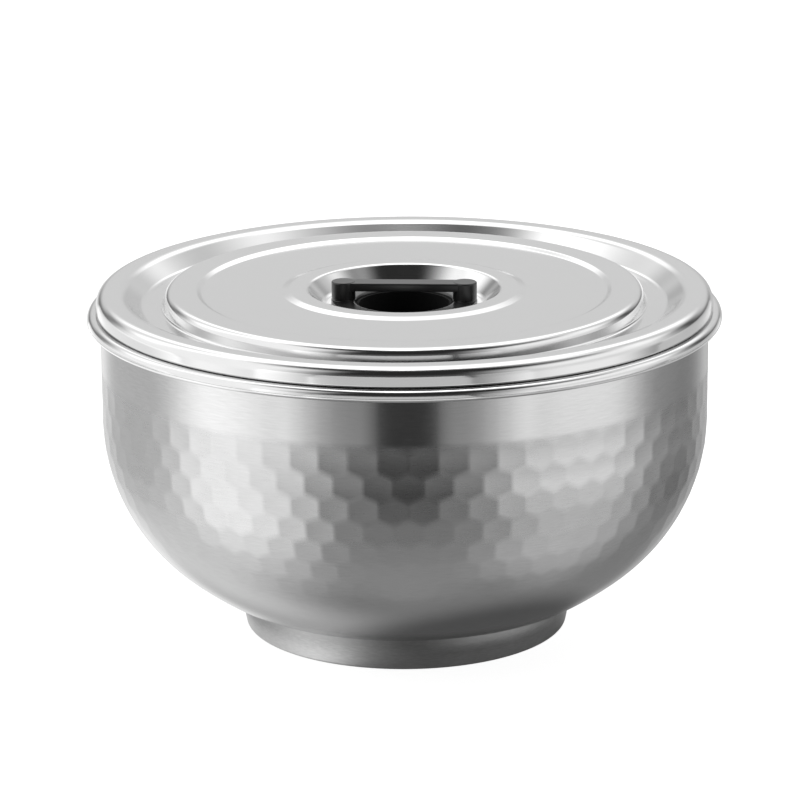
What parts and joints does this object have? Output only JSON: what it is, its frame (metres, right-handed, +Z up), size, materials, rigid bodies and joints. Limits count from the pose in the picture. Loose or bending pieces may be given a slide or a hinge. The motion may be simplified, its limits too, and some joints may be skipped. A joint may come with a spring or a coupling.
{
  "type": "insulated bowl with lid",
  "caption": "Round double-wall stainless steel bowl with a dimpled outside, a ring foot, a rolled rim and a lift-off lid whose sunk grip bar spans a finger well.",
  "frame": {"origin": "middle of the foot, on the surface that the bowl stands on", "axes": "+Z up along the bowl's axis; X along the grip bar"},
  "size_m": [0.18, 0.18, 0.1003],
  "materials": {
    "outer_steel": "fine horizontal brushing, pressed all round with shallow six-sided dents",
    "inner_steel": "satin inside, polished rim",
    "foot_steel": "fine horizontal brushing",
    "plug_silicone": "matt",
    "lid_steel": "polished to a soft gloss",
    "grip_black": "fine moulded grain",
    "cup_black": "fine moulded grain",
    "gasket_silicone": "matt",
    "screw_steel": "bright"
  },
  "bodies": {
    "bowl": {"outer_shell": "outer_steel", "inner_shell": "inner_steel", "foot_ring": "foot_steel", "vent_plug": "plug_silicone"},
    "lid": {"lid_panel": "lid_steel", "grip": "grip_black", "finger_cup": "cup_black", "cup_gasket": "gasket_silicone", "grip_screws": "screw_steel"}
  },
  "joints": [
    {"name": "lid_lift", "type": "slide", "parent": "bowl", "child": "lid", "axis": [0, 0, 1], "range_m": [0, 0.1]}
  ]
}
